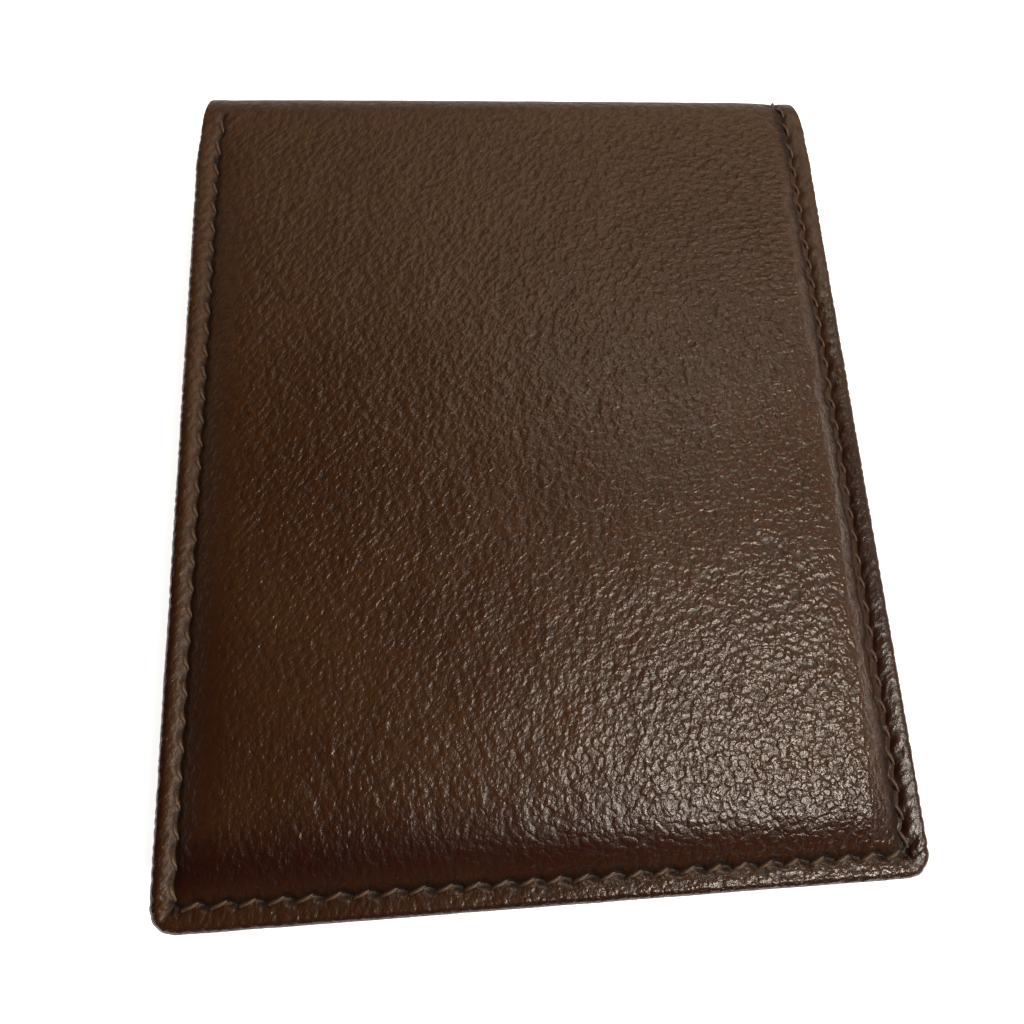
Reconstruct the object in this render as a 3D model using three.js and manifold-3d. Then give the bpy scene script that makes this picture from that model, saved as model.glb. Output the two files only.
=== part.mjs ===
// A leather bifold wallet, closed, in millimetres with +Z up.
//
// It lies on its back cover. +X runs along the fold towards the open side of the note compartment,
// +Y runs from the free edges to the fold, and the origin is under the middle of the closed wallet.
// The shell is one strip of leather with its edges turned in and sewn, over a thin filler and a lining.
// Each half holds a note divider, a card backing and three card pockets. The two halves are mirror
// images, so each piece of a half is drawn once, at its depth below that half's outside face.

import * as THREE from "three";
import { mergeVertices } from "three/addons/utils/BufferGeometryUtils.js";
import Module from "manifold-3d";

// Overall size
const WIDTH = 90; // along the fold
const DEPTH = 111; // from the free edges to the outside of the fold
const FOLD_RADIUS = 6; // outside of the fold, so the closed wallet is twice this thick

// Sheets, as thicknesses
const LEATHER = 1.0;
const LINING = 0.3;
const HEM = 0.8; // the skived edge of the leather, where it is turned in
const DIVIDER = 0.3;
const BACKING_LEATHER = 0.45;
const POCKET_LEATHER = 0.35;
const LAYER_GAP = 0.05; // clearance between sheets that lie on each other

// Borders and seams, as widths measured in from the outline
const CORNER_RADIUS = 3;
const BORDER = 3.3; // the flat sewn border around the padded face
const BORDER_DROP = 1.2; // how far the border lies below the padded face
const SEAM_INSET = 2.9; // from the outline to the middle of the thread
const TURNED_EDGE = 1.0; // leather between the outline and the lining's edge
const HEM_WIDTH = 7; // on the three closed sides
const MOUTH_HEM_WIDTH = 5; // on the note compartment's open side
const THREAD = 0.4; // thickness of a thread run
const THREAD_WIDTH = 0.6;
const GROOVE = { width: 1.0, depth: 0.55 }; // where the seam crosses the fold

// Pockets, as distances from the closed side or from the free edge
const CARD_LIPS = [76, 63, 50]; // pocket depth from the closed side, rearmost pocket first
const BACKING_DEPTH = 83.5;
const DIVIDER_DEPTH = 82.5;
const PANEL_LENGTH = 98.5; // the inner panels stop this far from the free edge, short of the fold
const POCKET_LENGTH = 97.5;
const PANEL_INSET = 0.6; // of the inner panels from the outline
const GUTTER_SEAM = 95.5; // seam that closes the pockets beside the fold

// Fold: equal rigid strips between the two covers, each turning by the same angle
const FOLD_STRIPS = 3;
const FOLD_STEP = Math.PI / (FOLD_STRIPS + 1);
const FOLD_GAP = 0.2; // between neighbouring strips, along the outside of the fold
const ARC_FACETS = 6; // facets along each strip

// Places that follow from the sizes
const X_CLOSED = -WIDTH / 2;
const X_MOUTH = WIDTH / 2;
const Y_FREE = -DEPTH / 2;
const Y_FOLD = DEPTH / 2 - FOLD_RADIUS; // the fold's centre line, and the end of the flat covers
const PAST = 20; // how far a cutting block runs past what it cuts

// Depth of each layer below its half's outside face, as [outer, inner]
const borderLeather = [BORDER_DROP, BORDER_DROP + LEATHER];
const lining = layerUnder(borderLeather, LINING);
const hem = layerUnder(lining, HEM);
const filler = [LEATHER + LAYER_GAP, lining[0] - LAYER_GAP];
const divider = layerUnder(hem, DIVIDER);
const backing = layerUnder(divider, BACKING_LEATHER);
const pockets = [];
for (let i = 0, above = backing; i < CARD_LIPS.length; i++) {
  above = layerUnder(above, POCKET_LEATHER);
  pockets.push(above);
}

function layerUnder([, inner], thickness) {
  const outer = inner + LAYER_GAP;
  return [outer, outer + thickness];
}

const materials = {
  shellLeather: new THREE.MeshStandardMaterial({ color: 0x4b3324, roughness: 0.5, metalness: 0 }),
  innerLeather: new THREE.MeshStandardMaterial({ color: 0x3e2819, roughness: 0.6, metalness: 0 }),
  fabric: new THREE.MeshStandardMaterial({ color: 0x2b2019, roughness: 0.9, metalness: 0 }),
  padding: new THREE.MeshStandardMaterial({ color: 0x8c8273, roughness: 1, metalness: 0 }),
  thread: new THREE.MeshStandardMaterial({ color: 0x4a301f, roughness: 0.7, metalness: 0 }),
};

// Solids: manifold-3d joins and cuts closed three.js geometry.
const wasm = await Module();
wasm.setup();

function solidOf(geometry) {
  const bare = geometry.index ? geometry.toNonIndexed() : geometry.clone();
  bare.deleteAttribute("normal");
  bare.deleteAttribute("uv");
  const merged = mergeVertices(bare, 1e-4);
  return new wasm.Manifold(
    new wasm.Mesh({
      numProp: 3,
      vertProperties: merged.attributes.position.array,
      triVerts: new Uint32Array(merged.index.array),
    }),
  );
}

function geometryOf(solid) {
  const { vertProperties, triVerts } = solid.getMesh();
  const geometry = new THREE.BufferGeometry();
  geometry.setAttribute("position", new THREE.BufferAttribute(new Float32Array(vertProperties), 3));
  geometry.setIndex(new THREE.BufferAttribute(new Uint32Array(triVerts), 1));
  geometry.computeVertexNormals();
  return geometry;
}

const join = (...solids) => solids.reduce((a, b) => a.add(b));
const cut = (body, ...tools) => tools.reduce((a, b) => a.subtract(b), body);

// A rectangle in plan with its two corners at the free edge rounded.
function outline(x0, y0, x1, y1, radius = 0) {
  const shape = new THREE.Shape();
  shape.moveTo(x0, y1);
  shape.lineTo(x0, y0 + radius);
  if (radius > 0) shape.absarc(x0 + radius, y0 + radius, radius, Math.PI, 1.5 * Math.PI);
  else shape.lineTo(x0, y0);
  shape.lineTo(x1 - radius, y0);
  if (radius > 0) shape.absarc(x1 - radius, y0 + radius, radius, 1.5 * Math.PI, 2 * Math.PI);
  shape.lineTo(x1, y1);
  shape.closePath();
  return shape;
}

// A flat sheet with that outline, between two depths.
function sheet(shape, [outer, inner]) {
  const geometry = new THREE.ExtrudeGeometry(shape, {
    depth: inner - outer,
    bevelEnabled: false,
    curveSegments: ARC_FACETS,
  });
  return solidOf(geometry.translate(0, 0, outer));
}

// The same with its edges rounded over. The outline is where the rounding ends on the faces.
function roundedSheet(shape, [outer, inner], edge) {
  const geometry = new THREE.ExtrudeGeometry(shape, {
    depth: inner - outer - 2 * edge,
    bevelThickness: edge,
    bevelSize: edge,
    bevelSegments: 3,
    curveSegments: ARC_FACETS,
  });
  return solidOf(geometry.translate(0, 0, outer + edge));
}

// A box between two corners. One matrix places it, so that blocks with an edge in common meet exactly.
function block(x0, y0, x1, y1, [outer, inner]) {
  const size = new THREE.Matrix4().makeScale(x1 - x0, y1 - y0, inner - outer);
  const geometry = new THREE.BoxGeometry(1, 1, 1).translate(0.5, 0.5, 0.5);
  return solidOf(geometry.applyMatrix4(size.setPosition(x0, y0, outer)));
}

// A curved strip around the fold. Angles start at the back cover's face and end at the front cover's.
function strip(x0, x1, [outer, inner], from, to) {
  const quarter = Math.PI / 2;
  const shape = new THREE.Shape();
  shape.absarc(0, 0, FOLD_RADIUS - outer, from - quarter, to - quarter, false);
  shape.absarc(0, 0, FOLD_RADIUS - inner, to - quarter, from - quarter, true);
  shape.closePath();
  const geometry = new THREE.ExtrudeGeometry(shape, {
    depth: 1,
    bevelEnabled: false,
    curveSegments: ARC_FACETS,
  });
  const aboutX = new THREE.Matrix4().makeBasis(
    new THREE.Vector3(0, 1, 0),
    new THREE.Vector3(0, 0, 1),
    new THREE.Vector3(x1 - x0, 0, 0),
  );
  return solidOf(geometry.applyMatrix4(aboutX.setPosition(x0, Y_FOLD, FOLD_RADIUS)));
}

const HALF_GAP_ANGLE = FOLD_GAP / FOLD_RADIUS / 2;
const seamX = X_MOUTH - SEAM_INSET;

// Depths on the fold, where there is no filler and the lining lies on the leather
const foldLeather = [0, LEATHER];
const foldLining = layerUnder(foldLeather, LINING);
const foldHem = layerUnder(foldLining, HEM);
const foldThread = [LAYER_GAP, GROOVE.depth - LAYER_GAP];
const foldInnerThread = layerUnder(foldHem, THREAD);

// Leather on the fold: the strip, its two turned-in edges, and the groove for the seam.
function foldLeatherStrip(from, to) {
  const across = strip(X_CLOSED, X_MOUTH, foldLeather, from, to);
  const turns = [
    strip(X_CLOSED, X_CLOSED + TURNED_EDGE, [0, foldHem[1]], from, to),
    strip(X_MOUTH - TURNED_EDGE, X_MOUTH, [0, foldHem[1]], from, to),
    strip(X_CLOSED, X_CLOSED + HEM_WIDTH, foldHem, from, to),
    strip(X_MOUTH - MOUTH_HEM_WIDTH, X_MOUTH, foldHem, from, to),
  ];
  const overshoot = 0.1;
  const groove = strip(
    seamX - GROOVE.width / 2,
    seamX + GROOVE.width / 2,
    [-overshoot, GROOVE.depth],
    from - overshoot,
    to + overshoot,
  );
  return cut(join(across, ...turns), groove);
}

// One cover: the padded face, the border with its turned-in edge, and the start of the fold.
function coverLeather() {
  const edge = 0.5;
  const frame = roundedSheet(
    outline(X_CLOSED + edge, Y_FREE + edge, X_MOUTH - edge, Y_FOLD + PAST, CORNER_RADIUS - edge),
    [borderLeather[0], hem[1]],
    edge,
  );
  const crown = 0.9;
  const face = roundedSheet(
    outline(
      X_CLOSED + BORDER + crown,
      Y_FREE + BORDER + crown,
      X_MOUTH - BORDER - crown,
      Y_FOLD + PAST,
      CORNER_RADIUS / 2,
    ),
    [0, borderLeather[1] + crown / 2],
    crown,
  );
  const beyondTheFlat = block(
    X_CLOSED - PAST,
    Y_FOLD,
    X_MOUTH + PAST,
    Y_FOLD + 2 * PAST,
    [-PAST, PAST],
  );
  const liningSlot = block(
    X_CLOSED + TURNED_EDGE,
    Y_FREE + TURNED_EDGE,
    X_MOUTH - TURNED_EDGE,
    Y_FOLD + PAST,
    [borderLeather[1], hem[0]],
  );
  const insideTheHem = block(
    X_CLOSED + HEM_WIDTH,
    Y_FREE + HEM_WIDTH,
    X_MOUTH - MOUTH_HEM_WIDTH,
    Y_FOLD + PAST,
    [borderLeather[1], PAST],
  );
  const room = fillerPlan(0);
  const fillerRoom = block(room.x0, room.y0, room.x1, Y_FOLD + PAST, [LEATHER, lining[0]]);
  const flat = cut(join(frame, face), beyondTheFlat, liningSlot, insideTheHem, fillerRoom);
  return flat.add(foldLeatherStrip(0, FOLD_STEP / 2 - HALF_GAP_ANGLE));
}

// Plan of the filler, drawn in from the room that the leather leaves for it.
function fillerPlan(clearance) {
  const inset = BORDER + LEATHER + clearance;
  return {
    x0: X_CLOSED + inset,
    y0: Y_FREE + inset,
    x1: X_MOUTH - inset,
    y1: Y_FOLD - clearance,
  };
}

function coverFiller() {
  const plan = fillerPlan(0.3);
  return sheet(outline(plan.x0, plan.y0, plan.x1, plan.y1, 1), filler);
}

function coverLining() {
  const inset = TURNED_EDGE + 0.3;
  return sheet(
    outline(X_CLOSED + inset, Y_FREE + inset, X_MOUTH - inset, Y_FOLD - LAYER_GAP, CORNER_RADIUS / 2),
    lining,
  );
}

// An inner panel: its lip is that far from the closed side, its end that far from the free edge.
function innerPanel(lip, length, depths) {
  const x0 = X_CLOSED + PANEL_INSET;
  const y0 = Y_FREE + PANEL_INSET;
  const radius = CORNER_RADIUS - PANEL_INSET;
  return sheet(outline(x0, y0, X_CLOSED + lip, Y_FREE + length, radius), depths);
}

// Thread runs are flat ribbons that lie on the surface they are sewn to.
function run(x0, y0, x1, y1, depths) {
  const half = THREAD_WIDTH / 2;
  return block(x0 - half, y0 - half, x1 + half, y1 + half, depths);
}

const seamLeft = X_CLOSED + SEAM_INSET;
const seamFree = Y_FREE + SEAM_INSET;
const borderTop = [BORDER_DROP - LAYER_GAP - THREAD, BORDER_DROP - LAYER_GAP];

// The seam on the outside of a cover: closed side, free edge, open side, and over the fold's start.
function outerSeam() {
  const closedEnd = Y_FOLD - 1; // the closed side's seam stops at the fold
  const riser = Y_FOLD - 0.6;
  const insideStrip = [foldThread[0] + 0.1, foldThread[1] - 0.1];
  return join(
    run(seamLeft, seamFree, seamLeft, closedEnd, borderTop),
    run(seamLeft, seamFree, seamX, seamFree, borderTop),
    run(seamX, seamFree, seamX, riser, borderTop),
    run(seamX, riser, seamX, riser, [insideStrip[0], borderTop[1]]),
    run(seamX, riser, seamX, Y_FOLD, insideStrip),
    strip(
      seamX - THREAD_WIDTH / 2,
      seamX + THREAD_WIDTH / 2,
      foldThread,
      0,
      FOLD_STEP / 2 - HALF_GAP_ANGLE,
    ),
  );
}

// A seam across the card pockets, from the foremost to the backing. It steps down past each lip.
function seamAcrossPockets(y) {
  const levels = [...pockets.toReversed(), backing].map((layer) => layerUnder(layer, THREAD));
  const steps = CARD_LIPS.toReversed().map((lip) => X_CLOSED + lip + THREAD_WIDTH);
  const runs = [];
  let x = seamLeft;
  levels.forEach((level, i) => {
    const isLast = i === steps.length;
    const end = isLast ? X_CLOSED + BACKING_DEPTH - 1 : steps[i];
    runs.push(run(x, y, end, y, level));
    if (!isLast) runs.push(run(end, y, end, y, [levels[i + 1][0], level[1]]));
    x = end;
  });
  return join(...runs);
}

// The outer seam where it comes through on the inner panel: the closed side and the free edge.
function panelSeam() {
  const onPockets = layerUnder(pockets.at(-1), THREAD);
  const end = Y_FREE + GUTTER_SEAM - 2;
  return seamAcrossPockets(seamFree).add(run(seamLeft, seamFree, seamLeft, end, onPockets));
}

const gutterSeam = () => seamAcrossPockets(Y_FREE + GUTTER_SEAM);

// The outer seam where it comes through on the turned-in edge at the open side.
function hemSeam() {
  const onHem = layerUnder(hem, THREAD);
  return join(
    run(seamX, seamFree, seamX, Y_FOLD - 1, onHem),
    run(X_CLOSED + BACKING_DEPTH + 1, seamFree, seamX, seamFree, onHem),
  );
}

function piece(name, material, solid) {
  const mesh = new THREE.Mesh(geometryOf(solid), material);
  mesh.name = name;
  return mesh;
}

// Every piece of one half, with the outside face at z = 0 and the inside above it.
function half(side) {
  const group = new THREE.Group();
  const { shellLeather, innerLeather, fabric, padding, thread } = materials;
  group.add(
    piece(`${side}_cover_leather`, shellLeather, coverLeather()),
    piece(`${side}_cover_filler`, padding, coverFiller()),
    piece(`${side}_cover_lining`, fabric, coverLining()),
    piece(`${side}_note_divider`, fabric, innerPanel(DIVIDER_DEPTH, PANEL_LENGTH, divider)),
    piece(`${side}_card_backing`, innerLeather, innerPanel(BACKING_DEPTH, PANEL_LENGTH, backing)),
    piece(`${side}_outer_seam`, thread, outerSeam()),
    piece(`${side}_panel_seam`, thread, panelSeam()),
    piece(`${side}_hem_seam`, thread, hemSeam()),
    piece(`${side}_gutter_seam`, thread, gutterSeam()),
  );
  CARD_LIPS.forEach((lip, i) => {
    const pocket = innerPanel(lip, POCKET_LENGTH, pockets[i]);
    group.add(piece(`${side}_card_pocket_${i + 1}`, innerLeather, pocket));
  });
  return group;
}

// The fold between the covers, as equal strips of leather, lining and thread.
function fold() {
  const group = new THREE.Group();
  for (let i = 1; i <= FOLD_STRIPS; i++) {
    const from = (i - 0.5) * FOLD_STEP + HALF_GAP_ANGLE;
    const to = (i + 0.5) * FOLD_STEP - HALF_GAP_ANGLE;
    const liningEnds = TURNED_EDGE + 0.3;
    const threadSides = [seamX - THREAD_WIDTH / 2, seamX + THREAD_WIDTH / 2];
    group.add(
      piece(`fold_${i}_leather`, materials.shellLeather, foldLeatherStrip(from, to)),
      piece(
        `fold_${i}_lining`,
        materials.fabric,
        strip(X_CLOSED + liningEnds, X_MOUTH - liningEnds, foldLining, from, to),
      ),
      piece(`fold_${i}_outer_seam`, materials.thread, strip(...threadSides, foldThread, from, to)),
      piece(
        `fold_${i}_hem_seam`,
        materials.thread,
        strip(...threadSides, foldInnerThread, from, to),
      ),
    );
  }
  return group;
}

const wallet = new THREE.Group();
const back = half("back");
const front = half("front");
front.scale.z = -1; // the front half is the back half's mirror image
front.position.z = 2 * FOLD_RADIUS;
wallet.add(back, fold(), front);

export default wallet;
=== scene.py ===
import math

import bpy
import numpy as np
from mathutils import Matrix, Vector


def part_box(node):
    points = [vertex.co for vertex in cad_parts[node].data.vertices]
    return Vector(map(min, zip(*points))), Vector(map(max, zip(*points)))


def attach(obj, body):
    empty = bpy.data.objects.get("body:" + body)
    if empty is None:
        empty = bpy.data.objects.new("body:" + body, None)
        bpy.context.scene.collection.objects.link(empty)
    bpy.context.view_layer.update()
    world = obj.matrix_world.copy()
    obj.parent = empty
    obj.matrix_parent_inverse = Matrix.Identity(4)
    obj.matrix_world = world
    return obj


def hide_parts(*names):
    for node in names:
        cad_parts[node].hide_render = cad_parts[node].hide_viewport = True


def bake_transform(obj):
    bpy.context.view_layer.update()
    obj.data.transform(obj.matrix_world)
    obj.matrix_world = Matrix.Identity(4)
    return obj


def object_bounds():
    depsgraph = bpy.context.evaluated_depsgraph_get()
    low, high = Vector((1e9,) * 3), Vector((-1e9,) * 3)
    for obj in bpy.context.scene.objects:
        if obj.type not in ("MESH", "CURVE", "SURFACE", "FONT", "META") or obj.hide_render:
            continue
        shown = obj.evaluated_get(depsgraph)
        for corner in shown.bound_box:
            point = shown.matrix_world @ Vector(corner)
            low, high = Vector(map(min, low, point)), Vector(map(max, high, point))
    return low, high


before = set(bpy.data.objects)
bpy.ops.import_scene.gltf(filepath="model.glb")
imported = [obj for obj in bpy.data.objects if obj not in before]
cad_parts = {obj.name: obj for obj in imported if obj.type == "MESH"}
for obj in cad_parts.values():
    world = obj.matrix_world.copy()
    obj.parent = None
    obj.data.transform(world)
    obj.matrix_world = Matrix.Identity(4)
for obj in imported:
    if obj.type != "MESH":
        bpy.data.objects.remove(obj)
cad_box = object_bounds()

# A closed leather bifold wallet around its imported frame.
#
# Lengths are in millimetres until a mesh is made. The shell is one strip of leather, so a place on it
# is (x, s): x along the fold, and s along the strip, from the back cover's free edge, round the fold,
# to the front cover's free edge. A depth is measured inwards from the outside face. The panels inside
# each half use the same places, on that half's flat part.

MM = 0.001
SCENE = bpy.context.scene


def in_mm(corners):
    return [np.array(corner) / MM for corner in corners]


# Sizes from the frame
LOW, HIGH = in_mm(cad_box)
X0, X1 = LOW[0], HIGH[0]
Y_FREE = LOW[1]
RADIUS = HIGH[2] / 2
Y_FOLD = HIGH[1] - RADIUS
FLAT = Y_FOLD - Y_FREE
ARC = math.pi * RADIUS
LENGTH = 2 * FLAT + ARC


def node_span(node):
    """Where a node of the back half lies: its x, its distance from the free edge, and its depth."""
    low, high = in_mm(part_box(node))
    return (low[0], high[0]), (low[1] - Y_FREE, high[1] - Y_FREE), (low[2], high[2])


LAYER_GAP = 0.05
BORDER_DROP = node_span("back_outer_seam")[2][1] + LAYER_GAP
LINING = node_span("back_cover_lining")
HEM_INNER = node_span("back_cover_leather")[2][1]
DIVIDER = node_span("back_note_divider")
PANELS = [node_span("back_card_" + name) for name in ("backing", "pocket_1", "pocket_2", "pocket_3")]
PADDING = node_span("back_cover_filler")
GUTTER_SEAM = sum(node_span("back_gutter_seam")[1]) / 2

# The shell's edges, hems and seams, as widths from the outline
CORNER = 3.0
EDGE = (HEM_INNER - BORDER_DROP) / 2  # radius of the rounded edge
SEAM = 2.9
CLOSED_DRIFT = 0.15  # how much nearer the edge the closed side's seam lies at the free edge, as a share
HEM = (7.0, 5.0, 7.0)  # on the closed, mouth and free sides
HEM_CORNER = 1.5
LEATHER = 1.0
RISE = 9.0  # length over which the border comes up to the fold's level
CLOSED_SLOPE, MOUTH_SLOPE, FREE_SLOPE = 7.0, 3.2, 7.0  # how wide the padding's edges slope
# the border's top on the closed, mouth and free sides: how far in its crest is, how far it falls into
# the seam, and how late it falls
BORDER_SHAPE = ((1.0, 0.4, 0.7), (0.36, 0.42, 0.42), (2.2, 1.2, 1.5))
SPINE_NARROWER = 1.5  # how much the leather's edges draw in on the fold, each side
NARROWS_BEFORE, NARROWS_OVER = 8.0, 11.0  # how far before the fold that starts, and its length
SMALL_PEBBLE, LARGE_PEBBLE = 0.95, 1.4

# Mesh steps
FACE_STEP, BACK_STEP, ARC_STEP = 0.37, 0.6, 0.36
SEAM_STEP = 0.2
FINE_WIDTH = SEAM + 2.6  # the seam's step is used this far in from the edge
RIM_STEPS = 8

# Stitches
SIDE_STITCHES, FREE_STITCHES, FOLD_STITCHES = 33, 27, 6
SIDE_PITCH = (FLAT - SEAM) / SIDE_STITCHES
FREE_PITCH = (X1 - X0 - 2 * SEAM) / FREE_STITCHES
FOLD_PITCH = ARC / FOLD_STITCHES
STITCH_SLANT = 0.85  # how far a stitch crosses the seam's line, from end to end
THREAD_RADIUS = 0.29
RELIEF_FROM = SEAM - 0.5  # a seam's relief ends this near the next side
CHANNEL = (0.42, 0.16, 0.5)  # a seam's channel: its width and depth, and the width of its shade
MOUTH_CHANNEL = (0.62, 0.20, 0.9)
HOLE_LENGTH, HOLE_WIDTH, HOLE_DEPTH = 0.78, 0.36, 0.32


# Noise, all of it hashed from whole numbers, so that each run gives the same leather

def hashed(ix, iy, seed):
    ix, iy = ix.astype(np.int64), iy.astype(np.int64)
    h = (ix * 374761393 + iy * 668265263 + seed * 974634777) & 0xFFFFFFFF
    h = ((h ^ (h >> 13)) * 1274126177) & 0xFFFFFFFF
    h ^= h >> 16
    return (h & 0xFFFFFF) / float(0x1000000)


def smooth(t):
    t = np.clip(t, 0, 1)
    return t * t * (3 - 2 * t)


def value_noise(x, y, seed):
    """Smooth noise from -1 to 1 with one bump per unit."""
    ix, iy = np.floor(x), np.floor(y)
    u, v = smooth(x - ix), smooth(y - iy)
    a, b = hashed(ix, iy, seed), hashed(ix + 1, iy, seed)
    c, d = hashed(ix, iy + 1, seed), hashed(ix + 1, iy + 1, seed)
    return 2 * ((a * (1 - u) + b * u) * (1 - v) + (c * (1 - u) + d * u) * v) - 1


def layered_noise(x, y, seed):
    """The same, with bumps of half the size and height over it."""
    return value_noise(x, y, seed) + 0.5 * value_noise(x * 2, y * 2, seed + 1)


def cells(x, y, size, seed, angle, stretch):
    """0 in the creases between pebbles, about 1 in their middles. Pebbles are drawn out along angle."""
    gx, gy = x / size, y / size
    ix, iy = np.floor(gx), np.floor(gy)
    along, across = np.cos(angle), np.sin(angle)
    first = np.full(gx.shape, 9.0)
    second = np.full(gx.shape, 9.0)
    for ox in range(-2, 3):
        for oy in range(-2, 3):
            jx, jy = ix + ox, iy + oy
            dx = jx + 0.1 + 0.8 * hashed(jx, jy, seed) - gx
            dy = jy + 0.1 + 0.8 * hashed(jx, jy, seed + 1) - gy
            u = (dx * along + dy * across) / stretch
            v = (dy * along - dx * across) * stretch
            d = np.hypot(u, v)
            second = np.where(d < first, first, np.minimum(second, d))
            first = np.minimum(first, d)
    return np.clip((second - first) * 1.7, 0, 1)


# Places on the strip

def from_free(s):
    """Distance from the nearer free edge."""
    return np.minimum(s, LENGTH - s)


def onto_fold(s, before, length):
    """0 on the covers, 1 on the fold. The change starts before the fold and takes a length."""
    return smooth((from_free(s) - FLAT + before) / length)


def cover_shares(x, s):
    """A place's share of the way from closed side to mouth, and from free edge to fold."""
    return np.clip((x - X0) / (X1 - X0), 0, 1), np.clip(from_free(s) / FLAT, 0, 1)


def place(x, s, depth):
    """Points in metres, in the frame."""
    turn = np.clip((s - FLAT) / RADIUS, 0, np.pi)
    r = RADIUS - depth
    narrower = SPINE_NARROWER * onto_fold(s, NARROWS_BEFORE, NARROWS_OVER)
    across = x * (1 - narrower / X1)
    y = Y_FOLD + np.minimum(s - FLAT, 0) - np.maximum(s - FLAT - ARC, 0) + r * np.sin(turn)
    z = RADIUS - r * np.cos(turn)
    return np.stack(np.broadcast_arrays(across, y, z), -1) * MM


def sink(s):
    """How far the border and the inner layers lie below their level on the fold."""
    return BORDER_DROP * (1 - onto_fold(s, RISE, RISE + 1.5))


def crown(t, power=2.4):
    return 1 - (1 - np.clip(t, 0, 1)) ** power


def is_front(s):
    return s > LENGTH / 2


def closed_scale(s):
    """The closed side's seam runs a little nearer the edge towards the free edge."""
    return 1 + CLOSED_DRIFT * (1 - from_free(s) / FLAT)


def edge_distances(x, s):
    """Distances from the closed side, the mouth side and the free edge. The first is stretched so
    that its seam always lies at the same distance."""
    return (x - X0) * closed_scale(s), X1 - x, from_free(s)


def nearest(closed, mouth, free):
    return np.minimum(np.minimum(closed, mouth), free)


# The shell's relief: what the padding, the seams and the grain do to the outside face

def padding_rise(x, s):
    """0 at the seams, 1 where the filler holds the leather all the way up."""
    closed, mouth, free = edge_distances(x, s)
    wander = 0.5 * value_noise(s / 17, x / 23, 51)
    ragged = 0.4 * layered_noise(s / 2.1, x / 2.1, 52)
    rise = crown((closed - SEAM) / (CLOSED_SLOPE + wander))
    steep = MOUTH_SLOPE + 1.3 * smooth((40 - free) / 40)
    rise = rise * crown((mouth - SEAM - 0.2 + ragged) / steep, 1.5)
    return rise * crown((free - SEAM) / (FREE_SLOPE + wander))


def pillow(x, s):
    """The front cover's broad swell, fullest towards the free edge on the mouth side."""
    closed, mouth, free = edge_distances(x, s)
    swell = crown((closed - SEAM) / 55) * crown((mouth - SEAM - 1) / 6) * crown((free - SEAM) / 20)
    swell = swell * (1 - 0.85 * smooth((free - 35) / (FLAT - 35)))
    return np.where(is_front(s), 0.85 * swell, 0)


def border_arch(x, s):
    """The border's rounded top falls from its crest into the seam, and flattens out on the fold."""
    distances = np.stack(np.broadcast_arrays(*edge_distances(x, s)))
    across = distances.min(axis=0)
    shares = np.exp((across - distances) / 0.6)
    shares = shares / shares.sum(axis=0)
    crest, dip, power = (np.tensordot(shape, shares, 1) for shape in BORDER_SHAPE)
    flat_there = 0.9 * onto_fold(s, 7, 6)
    fall = np.clip((across - crest) / (SEAM - crest), 0, 1) ** power
    return dip * fall * (1 - flat_there)


def pucker(x, s):
    """A small ridge that runs from the end of the closed side's seam up over the fold."""
    free = from_free(s)
    along = np.clip((free - FLAT + 2.5) / 5, 0, 1)
    line = X0 + 3.3 + 4.2 * along + 0.25 * value_noise(free / 1.1, free * 0, 65)
    ends = onto_fold(s, 3, 1.5) * smooth((FLAT + 3.5 - free) / 2)
    return 0.15 * ends * np.exp(-(((x - line) / 0.35) ** 2))


def seam_relief(inward, travel, pitch, channel):
    """Depth of a seam's channel, and its painted shade, in its holes and in a band beside its line on
    the padding's side. Inward is measured from the seam's line towards the padding, and a hole lies
    at each whole pitch of travel."""
    width, channel_depth, shade_width = channel
    phase = travel / pitch
    ahead = phase - np.floor(phase)
    from_hole = (phase - np.round(phase)) * pitch
    line = 0.75 * (ahead - 0.5) * smooth(ahead / 0.12) * smooth((1 - ahead) / 0.12)
    turned = inward + 0.35 * from_hole
    hole = np.exp(-((from_hole / HOLE_LENGTH) ** 2) ** 1.5 - (turned / HOLE_WIDTH) ** 2)
    groove = np.exp(-(((inward - line - 0.7 * shade_width) / shade_width) ** 2))
    hollow = channel_depth * np.exp(-(((inward - line) / width) ** 2))
    return hollow + HOLE_DEPTH * hole, np.maximum(1.2 * hole, 0.9 * groove)


def joined_relief(sides):
    """Depth and shade of several seams, each only where it runs."""
    depth, shade = 0, 0
    for inward, travel, pitch, where, channel in sides:
        relief, hole = seam_relief(inward, travel, pitch, channel)
        depth = np.maximum(depth, np.where(where, relief, 0))
        shade = np.maximum(shade, np.where(where, hole, 0))
    return depth, shade


def seams(x, s):
    """Depth and shade of the seams along the three sewn sides."""
    closed, mouth, free = edge_distances(x, s)
    on_fold = free > FLAT
    pitch = np.where(on_fold, FOLD_PITCH, SIDE_PITCH)
    along = np.where(on_fold, free - FLAT, free - SEAM)
    inside = free > RELIEF_FROM
    before_fold = inside & (free < FLAT + 0.3)
    between_sides = (closed > RELIEF_FROM) & (mouth > RELIEF_FROM)
    return joined_relief([
        (closed - SEAM, -along, pitch, before_fold, CHANNEL),
        (mouth - SEAM, along, pitch, inside, MOUTH_CHANNEL),
        (free - SEAM, x - X0 - SEAM, FREE_PITCH, between_sides, CHANNEL),
    ])


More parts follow.
